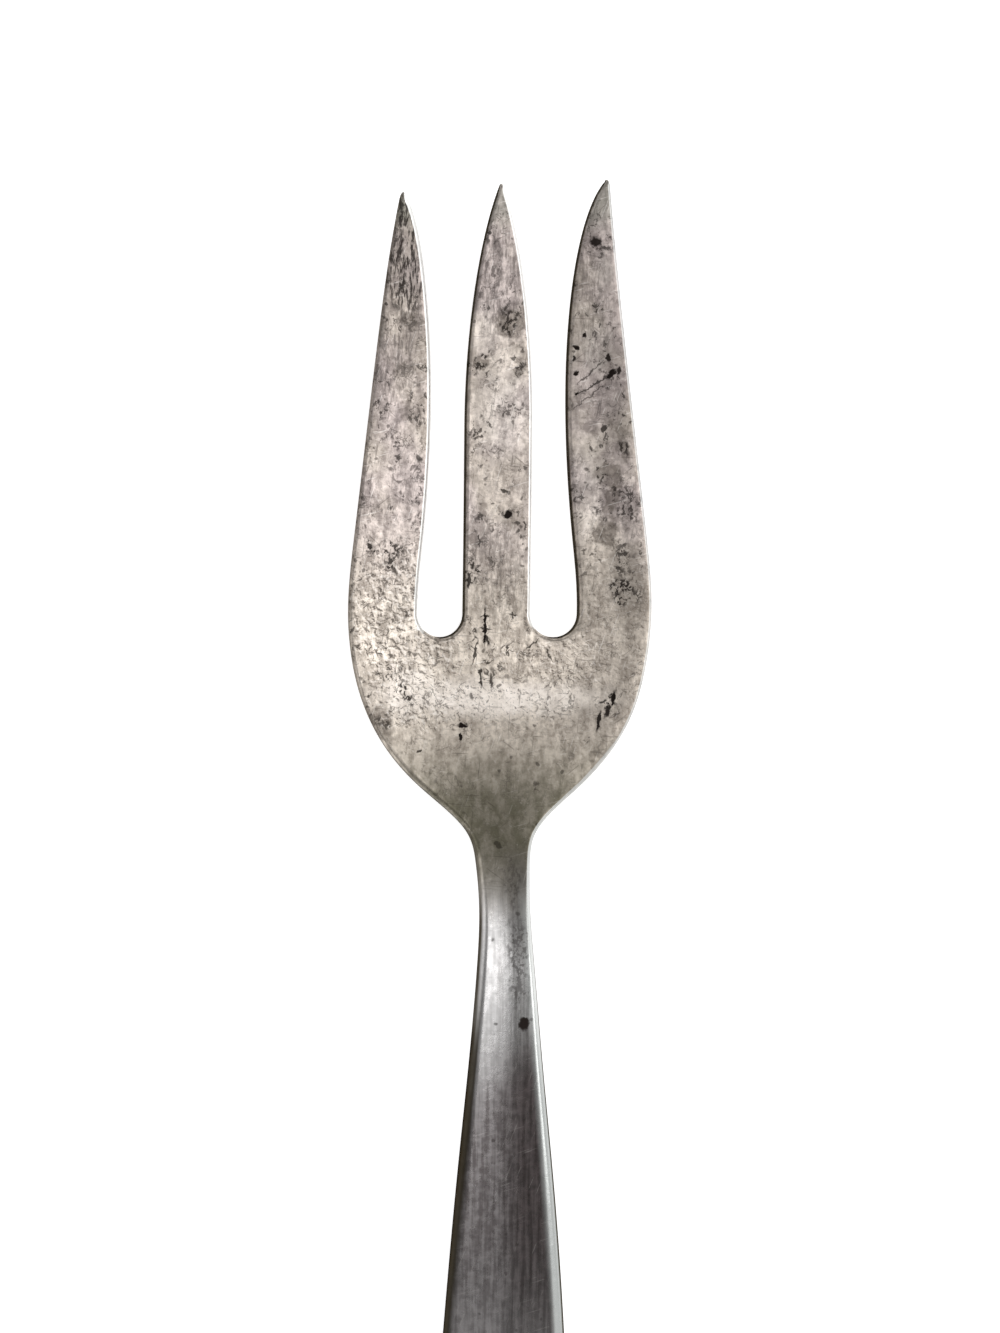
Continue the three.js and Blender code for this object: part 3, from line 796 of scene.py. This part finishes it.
class Plate:
    """Places in millimetres, zones and noises that the parts of the plate's look share."""

    def __init__(self, n):
        metres = n.node("ShaderNodeTexCoord").outputs["Object"]
        to_mm = (1 / MM, 1 / MM, 1 / MM)
        self.at = n.node("ShaderNodeMapping", {"Vector": metres, "Scale": to_mm}).outputs[0]
        self.x, self.y = n.node("ShaderNodeSeparateXYZ", {0: self.at}).outputs[:2]
        self.rippled = wobbled(n, self.at, scale=1.1, reach=0.7)

        # Where the surface is: on the front or the back, on a face or a rolled edge, and which way it looks
        self.front = n.ramp(n.node("ShaderNodeAttribute", attribute_name="front").outputs["Fac"], 0.4, 0.6)
        self.flat = n.node("ShaderNodeAttribute", attribute_name="flat").outputs["Fac"]
        normal = n.node("ShaderNodeNewGeometry").outputs["Normal"]
        self.to_right, self.to_points = n.node("ShaderNodeSeparateXYZ", {0: normal}).outputs[:2]

        self.handle = n.ramp(self.y, *HANDLE_ZONE)
        self.head = n.less(1.0, self.handle)
        self.tines = n.ramp(self.y, *TINE_ZONE)

        self.broad = n.noise(self.at, 0.1, detail=3.0)
        self.patchy = n.noise(n.stretched(self.at, (0.3, 0.16, 0.3), 0.1), 1.0, detail=3.0, rough=0.55)
        self.streaky = n.noise(n.stretched(self.at, (0.9, 0.3, 0.5)), 1.0, detail=4.0, rough=0.65)
        self.grain = n.noise(self.at, 1.4, detail=3.0, rough=0.6)
        self.brushed = n.noise(n.stretched(self.at, (2.0, 0.1, 0.3)), 1.0, detail=3.0, rough=0.6)
        self.smudgy = n.noise(n.stretched(self.at, (0.6, 0.42, 0.5), 0.2, 0.7), 1.0, detail=5.0, rough=0.68)
        self.wrinkle = n.noise(self.rippled, 1.0, detail=3.0, rough=0.6, bent=0.5)

        tone = n.add(n.times(self.streaky, 0.35), n.times(self.grain, 0.22))
        tone = n.add(tone, n.add(n.times(self.patchy, 0.2), n.times(self.smudgy, 0.23)))
        self.tone = n.ramp(tone, 0.39, 0.61)

        # The right half, which gets painted shade on the handle and neck while the left half of the handle
        # gets a painted highlight, less so lower down
        right_half = n.add(n.add(self.x, n.times(self.broad, 2.0)), n.times(self.grain, 1.6))
        right_half = n.ramp(right_half, -0.8, 4.2)
        self.right_half = n.times(right_half, n.ramp(self.y, *SHADE_AND_TARNISH_FADE, 1.0, 0.4))
        # Grey of the painted highlight on the rims of the handle, dimmer lower down
        self.rim_highlight_grey = n.blend(n.ramp(self.y, *RIM_DARKENS), UPPER_RIM_HIGHLIGHT, LOWER_RIM_HIGHLIGHT)


def head_colour(n, p):
    """Warm on the palm, pinkish on the tines, pale from use, and pale in a painted highlight band across the
    palm.
    """
    warm = n.blend(p.tone, WARM_SHADE, WARM_LIGHT)
    pink = n.blend(p.tone, PINK_SHADE, PINK_LIGHT)
    base = n.blend(n.times(p.tines, n.ramp(p.broad, 0.38, 0.62, 0.2, 1.0)), warm, pink)
    # Pale from use, and across the palm a painted highlight band
    worn = ellipses(n, wobbled(n, p.at, scale=0.3, reach=4.0), RUBBED_AND_HIGHLIT, soft=1.2)
    uneven = n.times(n.ramp(p.grain, 0.35, 0.6, 0.75, 1.0), n.ramp(p.smudgy, 0.4, 0.6, 1.0, 0.65))
    return n.blend(n.times(worn, uneven), base, RUBBED_AND_HIGHLIT_PALE)


def handle_colour(n, p):
    """Neutral grey with a painted highlight on the left half and painted shade on the right one, and dark
    lower down on the front from tarnish and painted shade.
    """
    silvery = n.ramp(n.add(n.times(p.brushed, 0.7), n.times(p.grain, 0.3)), 0.36, 0.64)
    lit_grey = n.blend(silvery, LIT_GREY_DARK, LIT_GREY_PALE)
    shaded_grey = n.blend(silvery, SHADED_GREY_DARK, SHADED_GREY_PALE)
    upper = n.blend(p.right_half, lit_grey, shaded_grey)

    mottled = n.add(n.times(n.noise(p.at, 0.85, detail=4.0, rough=0.65), 0.5), n.times(p.brushed, 0.5))
    mottled = n.ramp(mottled, 0.4, 0.62)
    low_left = n.blend(mottled, LOW_LEFT_SHADE, LOW_LEFT_LIGHT)
    low_right = n.blend(mottled, LOW_RIGHT_SHADE, LOW_RIGHT_LIGHT)
    lower = n.blend(p.right_half, low_left, low_right)

    # Darker lower down on the front: tarnish and painted shade
    low = n.ramp(n.add(n.add(p.y, n.times(p.broad, 8.0)), n.times(p.x, -0.9)), *DARK_HANDLE)
    low = n.times(low, n.times(n.ramp(p.y, *SHADE_AND_TARNISH_FADE, 0.92, 0.4), n.ramp(p.front, 0.0, 1.0, 0.4, 1.0)))
    # A painted highlight along the right rim of the handle
    rim = n.ramp(n.add(p.x, n.times(p.y, RIGHT_RIM_SPREAD)), *RIGHT_RIM, 0.0, 0.85)
    return n.blend(rim, n.blend(low, upper, lower), p.rim_highlight_grey)


def stained_and_shaded(n, p, base):
    """The metal with soft stains, spots, smudges on the tines, greenish points, an olive shoulder that is
    tarnish and painted shade, and painted shade on the right of the neck.
    """
    stain = ellipses(n, wobbled(n, p.at, scale=0.45, reach=4.0), STAINS, soft=0.9)
    base = n.blend(n.times(stain, n.ramp(p.streaky, 0.28, 0.62, 0.5, 1.0)), base, STAIN_BROWN)
    spot = ellipses(n, wobbled(n, p.at, scale=0.9, reach=2.6), SPOTS, soft=0.4)
    base = n.blend(n.times(spot, n.ramp(p.grain, 0.3, 0.6, 1.0, 0.8)), base, SPOT_BROWN)
    smudges = n.times(n.ramp(p.smudgy, 0.5, 0.6), n.times(p.tines, n.ramp(p.broad, 0.4, 0.6, 0.3, 0.5)))
    base = n.blend(smudges, base, SMUDGE_PURPLE)
    base = n.blend(n.ramp(p.y, *GREEN_POINTS, 0.0, 0.55), base, POINT_GREEN)
    # An olive shoulder: tarnish and painted shade
    olive = n.times(n.ramp(p.y, *OLIVE_ABOVE), n.ramp(p.y, *OLIVE_BELOW))
    base = n.blend(n.times(olive, n.ramp(p.smudgy, 0.4, 0.62, 0.94, 0.74)), base, SHOULDER_OLIVE_AND_SHADE)
    # Painted shade on the right half of the neck
    neck = n.times(n.ramp(p.y, *NECK_SHADE_ABOVE), n.ramp(p.y, *NECK_SHADE_BELOW))
    return n.blend(n.times(neck, n.times(p.right_half, 0.6)), base, NECK_PAINTED_SHADE)


def wrinkle_highlight_and_shade(n, p):
    """Painted highlight and shade of the wrinkles: above 0 on the pale side of each wrinkle and below 0 on
    its dark side, most on the left of the palm.
    """
    beside = n.shifted(p.rippled, (0.16, 0.2, 0.0))
    coarse = n.less(p.wrinkle, n.noise(beside, 1.0, detail=3.0, rough=0.6, bent=0.5))
    wrinkle_shaded = ellipses(n, wobbled(n, p.at, scale=0.3, reach=6.0), WRINKLE_SHADED_ZONES, soft=0.8)
    coarse = n.times(coarse, n.most(n.times(wrinkle_shaded, 0.85), n.times(p.head, 0.18)))
    close_by = n.shifted(p.rippled, (0.08, 0.1, 0.0))
    fine = n.less(n.noise(p.rippled, 2.1, rough=0.6), n.noise(close_by, 2.1, rough=0.6))
    plain = n.times(n.ramp(p.y, *FINE_GRAIN_BEGINS, 0.15, 0.32), n.ramp(p.y, *FINE_GRAIN_FADES, 1.0, 0.6))
    return n.add(coarse, n.times(fine, n.times(plain, p.head)))


def dark_lines(n, p):
    """Streaks along the tines, scratches every way, and squiggles where the plate is etched."""
    streaks = n.noise(n.stretched(p.at, (3.0, 0.6, 0.5), 0.03), 1.0, detail=3.0, rough=0.65)
    streaked = ellipses(n, wobbled(n, p.at, scale=0.5, reach=2.5), STREAKED, soft=0.8)
    streaks = n.times(n.ramp(streaks, 0.46, 0.58), streaked)
    straight = scratches(n, p.at, DARK_SCRATCHES, along=0.2, across=3.5)
    straight = n.times(straight, n.add(n.times(p.head, 0.25), 0.08))
    etched = n.times(p.head, n.ramp(n.add(p.broad, n.times(p.x, -0.01)), 0.3, 0.6, 0.45, 1.0))
    etched = n.times(squiggles(n, p.rippled, scale=0.6, width=0.03, share=0.5), etched)
    on_palm = n.times(n.ramp(p.y, *ETCHING_BEGINS, 0.45, 1.0), n.ramp(p.y, *ETCHING_FADES, 1.0, 0.65))
    return n.most(n.most(straight, n.times(etched, n.times(on_palm, 0.78))), n.times(streaks, 0.85))


def dark_spots(n, p):
    """Flecks, specks, and the single marks and clusters of the front."""
    crowded = n.ramp(n.noise(n.stretched(p.at, (0.3, 0.22, 0.3), 0, 0.4), 1.0, detail=3.0), 0.42, 0.56)
    flecks = n.noise(n.stretched(p.rippled, (1.2, 0.85, 0.8)), 1.0, detail=4.0, rough=0.68)
    flecks = n.times(n.ramp(flecks, 0.57, 0.615), crowded)
    flecks = n.times(flecks, n.times(p.head, n.ramp(p.y, *FLECKS_CROWD, 0.25, 1.0)))
    cells = n.node("ShaderNodeTexVoronoi", {"Vector": p.rippled, "Scale": 0.6})
    chosen = n.ramp(n.node("ShaderNodeSeparateColor", {0: cells.outputs["Color"]}).outputs[0], 0.78, 0.8)
    specks = n.times(n.ramp(cells.outputs["Distance"], 0.2, 0.1), chosen)
    marks = ellipses(n, wobbled(n, p.at, scale=1.5, reach=1.0), MARKS, soft=0.5)
    clusters = ellipses(n, wobbled(n, p.at, scale=0.65, reach=3.4), CLUSTERS, soft=0.8)
    crumbs = n.noise(n.stretched(p.rippled, (2.1, 1.5, 1.2), 0.2, 3.7), 1.0, detail=3.0, rough=0.65)
    clusters = n.times(clusters, n.ramp(crumbs, 0.49, 0.55, 0.08, 1.0))
    marks = n.times(n.most(marks, clusters), p.front)
    return n.most(n.most(n.times(specks, 0.55), n.times(flecks, 0.68)), marks)


def painted_rim_shade(n, p, shaded):
    """Painted shade on the flanks that look to the left, and in the slots."""
    on_handle = n.times(n.ramp(p.y, *HANDLE_RIM_SHADE_GROWS), n.ramp(p.flat, 0.985, 0.9))
    rim = n.most(n.ramp(p.flat, 0.88, 0.6), on_handle)
    rim = n.times(rim, n.ramp(shaded, 0.2, 0.55, 0.0, 0.95))
    inside_slots = n.times(n.ramp(p.x, *RIGHT_OF_LEFT_TINE), n.ramp(p.y, *SLOTS_BEGIN))
    return n.times(rim, n.most(n.ramp(p.y, *RIM_SHADE_HALVES, 1.0, 0.5), inside_slots))


def make_silver():
    material = bpy.data.materials.new("worn_silver_plate")
    material.use_nodes = True
    n = NodeTree(material.node_tree)
    shader = n.node("ShaderNodeBsdfPrincipled", {"Metallic": 1.0})
    n.node("ShaderNodeOutputMaterial", {"Surface": shader.outputs[0]})
    p = Plate(n)
    base = stained_and_shaded(n, p, n.blend(p.handle, head_colour(n, p), handle_colour(n, p)))

    # Painted highlight and shade of the wrinkles, then scratches and dark marks
    wrinkle_shading = wrinkle_highlight_and_shade(n, p)
    base = n.blend(n.ramp(wrinkle_shading, 0.015, 0.1, 0.0, 0.4), base, WRINKLE_HIGHLIGHT)
    bright = scratches(n, p.at, BRIGHT_SCRATCHES, along=0.25, across=5.0)
    bright = n.times(bright, n.ramp(p.y, *BRIGHT_SCRATCHES_BEGIN, 0.1, 0.36))
    base = n.blend(bright, base, SCRATCH_LIGHT)
    # Dark tarnish marks, and the painted shade on the dark side of the wrinkles
    dark = n.most(n.ramp(wrinkle_shading, -0.015, -0.1, 0.0, 0.6), n.most(dark_lines(n, p), dark_spots(n, p)))
    base = n.blend(dark, base, TARNISH_AND_SHADE_BLACK)

    # Rolled edges: painted shade on the flanks that look left, painted highlight on those that look right,
    # brightest in the slots
    shaded = n.add(n.times(p.to_right, -0.8), n.times(p.to_points, 0.6))
    rim_shade = painted_rim_shade(n, p, shaded)
    slot_highlight = n.times(n.ramp(p.x, *LEFT_OF_RIGHT_TINE), n.ramp(p.y, *SLOT_HIGHLIGHT_BEGINS))
    slot_highlight = n.times(slot_highlight, n.ramp(p.to_right, 0.15, 0.4))
    # Painted highlight on the rolled flanks that look right, and most in the slots
    rim_highlight = n.times(n.ramp(p.flat, 1.0, 0.97), n.ramp(shaded, -0.12, -0.3))
    rim_highlight_share = n.most(n.ramp(p.y, *RIM_HIGHLIGHT_LESSENS, 0.92, 0.65), n.times(slot_highlight, 0.9))
    rim_highlight = n.times(rim_highlight, rim_highlight_share)
    edge_highlight_grey = n.blend(slot_highlight, EDGE_HIGHLIGHT, SLOT_EDGE_HIGHLIGHT)
    base = n.blend(rim_highlight, base, n.blend(p.handle, edge_highlight_grey, p.rim_highlight_grey))

    # A painted shade line right round the steep edge, so that it stands out from a pale ground
    outline = n.times(p.handle, n.ramp(p.flat, 0.72, 0.5, 0.0, 0.85))
    outline = n.most(n.ramp(p.flat, 0.55, 0.3, 0.0, 0.6), outline)
    outline = n.times(outline, n.ramp(slot_highlight, 0.0, 1.0, 1.0, 0.5))
    # Painted shade on the flanks that look left and along the outline, in the colour and in the tint of the
    # reflections
    painted_edge_shade = n.most(rim_shade, outline)
    n.put(shader.inputs["Base Color"], n.blend(painted_edge_shade, base, EDGE_SHADE))
    n.put(shader.inputs["Specular Tint"], n.blend(painted_edge_shade, WHITE, EDGE_SHADE_TINT))

    rough = n.add(n.times(p.handle, -0.16), n.ramp(p.tone, 0.0, 1.0, 0.5, 0.4))
    rough = n.add(rough, n.times(dark, 0.25))
    rough = n.add(rough, n.times(rim_highlight, -0.12))
    n.put(shader.inputs["Roughness"], n.add(rough, n.times(rim_shade, 0.2)))

    height = n.add(p.wrinkle, n.times(p.grain, 0.3))
    bump = n.node("ShaderNodeBump", {"Strength": 0.4, "Distance": 0.00004, "Height": height})
    n.put(shader.inputs["Normal"], bump.outputs[0])
    return material


fork.data.materials.append(make_silver())

# The floor in metres, and how bright the floor and the backdrop look
FLOOR_REACH = 4.0
FLOOR_LEVEL = -0.0001
FLOOR_GLOW = 0.72
BACKDROP_LEVEL = 1.25


def seen_directly(n):
    """1 for what the camera sees, also in reflections and through clear things, and 0 for other light."""
    rays = n.node("ShaderNodeLightPath").outputs
    return n.most(n.most(rays["Is Camera Ray"], rays["Is Glossy Ray"]), rays["Is Transmission Ray"])


def make_floor():
    """A pale floor that stays white round the object, keeps its shadow, and is clear from below."""
    mesh = bpy.data.meshes.new("floor")
    sides = ((-1, -1), (1, -1), (1, 1), (-1, 1))
    corners = [(x * FLOOR_REACH, y * FLOOR_REACH, FLOOR_LEVEL) for x, y in sides]
    mesh.from_pydata(corners, [], [(0, 1, 2, 3)])
    floor = bpy.data.objects.new("floor", mesh)
    bpy.context.scene.collection.objects.link(floor)
    material = bpy.data.materials.new("pale_floor")
    material.use_nodes = True
    n = NodeTree(material.node_tree)
    matte = n.node("ShaderNodeBsdfDiffuse", {"Color": FLOOR_GREY})
    strength = n.times(seen_directly(n), FLOOR_GLOW)
    glow = n.node("ShaderNodeEmission", {"Color": WHITE, "Strength": strength})
    both = n.node("ShaderNodeAddShader", {0: matte.outputs[0], 1: glow.outputs[0]})
    below = n.node("ShaderNodeNewGeometry").outputs["Backfacing"]
    clear = n.node("ShaderNodeBsdfTransparent")
    shown = n.node("ShaderNodeMixShader", {0: below, 1: both.outputs[0], 2: clear.outputs[0]})
    n.node("ShaderNodeOutputMaterial", {"Surface": shown.outputs[0]})
    floor.data.materials.append(material)


def make_world():
    """A room that is brighter on the right, has a pale strip beyond the points, and a dim far side."""
    world = bpy.data.worlds.new("studio")
    bpy.context.scene.world = world
    world.use_nodes = True
    n = NodeTree(world.node_tree)
    direction = n.node("ShaderNodeTexCoord").outputs["Generated"]
    east, north, up = n.node("ShaderNodeSeparateXYZ", {0: direction}).outputs
    level = n.ramp(east, -0.95, -0.45, 0.35, 0.6)
    level = n.add(level, n.ramp(east, 0.3, 0.6, 0.0, 0.7))
    level = n.add(level, n.times(n.ramp(north, 0.16, 0.3), n.ramp(north, 0.5, 0.38, 0.0, 0.8)))
    level = n.times(level, n.ramp(north, 0.3, 0.6, 1.0, 0.28))
    # The pale backdrop behind the floor, up to about 15 degrees above it
    backdrop = n.times(seen_directly(n), n.ramp(up, 0.3, 0.24, 0.0, BACKDROP_LEVEL))
    background = n.node("ShaderNodeBackground", {"Strength": n.most(level, backdrop)})
    n.node("ShaderNodeOutputWorld", {"Surface": background.outputs[0]})


def make_lamp(name, place, aim, size, level):
    """A soft panel, placed and sized in metres. level is how bright it looks: 1 renders as white."""
    lamp = bpy.data.lights.new(name, "AREA")
    lamp.shape = "RECTANGLE"
    lamp.size, lamp.size_y = size
    lamp.energy = level * math.pi * size[0] * size[1]
    holder = bpy.data.objects.new(name, lamp)
    holder.location = place
    way = Vector(aim) - Vector(place)
    holder.rotation_euler = way.to_track_quat("-Z", "Y").to_euler()
    bpy.context.scene.collection.objects.link(holder)


# Camera: above the palm and a little to its left, looking down at it, tines up (mm)
TARGET_X = -0.1
TARGET_Y = 46.95
TARGET_Z = 5
DISTANCE = 420
TILT = math.radians(9.236)
LENS = 85.2
SENSOR = 36


def make_camera():
    camera = bpy.data.cameras.new("camera")
    camera.sensor_width = SENSOR
    camera.lens = LENS
    holder = bpy.data.objects.new("camera", camera)
    holder.location = (
        (TARGET_X - DISTANCE * math.sin(TILT)) * MM,
        TARGET_Y * MM,
        (TARGET_Z + DISTANCE * math.cos(TILT)) * MM,
    )
    holder.rotation_euler = (0, -TILT, 0)
    bpy.context.scene.collection.objects.link(holder)
    bpy.context.scene.camera = holder


make_floor()
make_world()
make_lamp("overhead", place=(-0.04, 0.06, 1.0), aim=(0, 0.045, 0), size=(0.44, 0.41), level=2.3)
make_lamp("right_panel", place=(0.8, 0.05, 0.7), aim=(0, 0.05, 0), size=(0.5, 0.6), level=1.5)
make_camera()
bpy.context.scene.view_settings.view_transform = "Standard"
